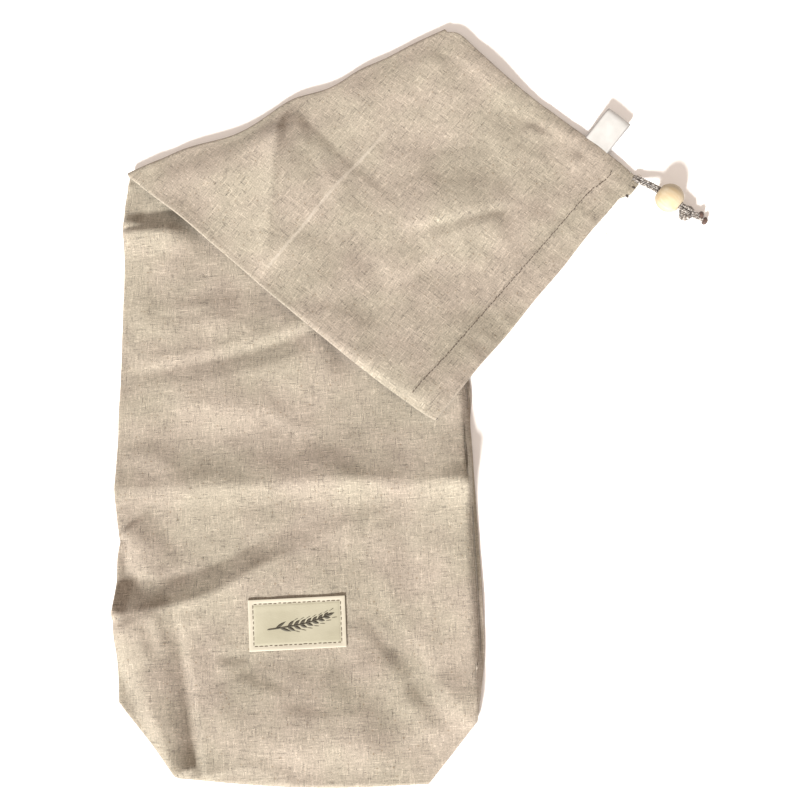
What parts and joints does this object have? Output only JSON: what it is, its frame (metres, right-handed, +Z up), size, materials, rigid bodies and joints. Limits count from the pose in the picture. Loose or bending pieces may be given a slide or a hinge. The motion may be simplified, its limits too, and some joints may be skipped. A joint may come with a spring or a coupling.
{
  "type": "linen bread bag",
  "caption": "Flat linen drawstring bread bag lying on a table, its upper part folded over on the slant, with a sewn-on patch, a side ribbon and a beaded drawstring end.",
  "frame": {"origin": "bottom centre of the box of the cloth, on the surface that the bag lies on", "axes": "+Z up from the surface, +Y along the bag from its sewn bottom towards the fold, +X across it towards the side that its mouth points to"},
  "size_m": [0.4504, 0.5654, 0.0214],
  "materials": {
    "linen": "natural undyed plain-weave linen with slubs",
    "leather": "cream smooth leather, stitched round its edge",
    "satin": "white woven satin ribbon",
    "cord": "braided cord mottled grey, white and dark brown",
    "wood": "pale natural wood, satin"
  },
  "bodies": {
    "root": {"front_panel": "linen", "back_panel": "linen", "leather_patch": "leather", "care_ribbon": "satin", "drawstring_upper": "cord", "drawstring_lower": "cord", "bead": "wood", "knot": "cord"}
  },
  "joints": []
}
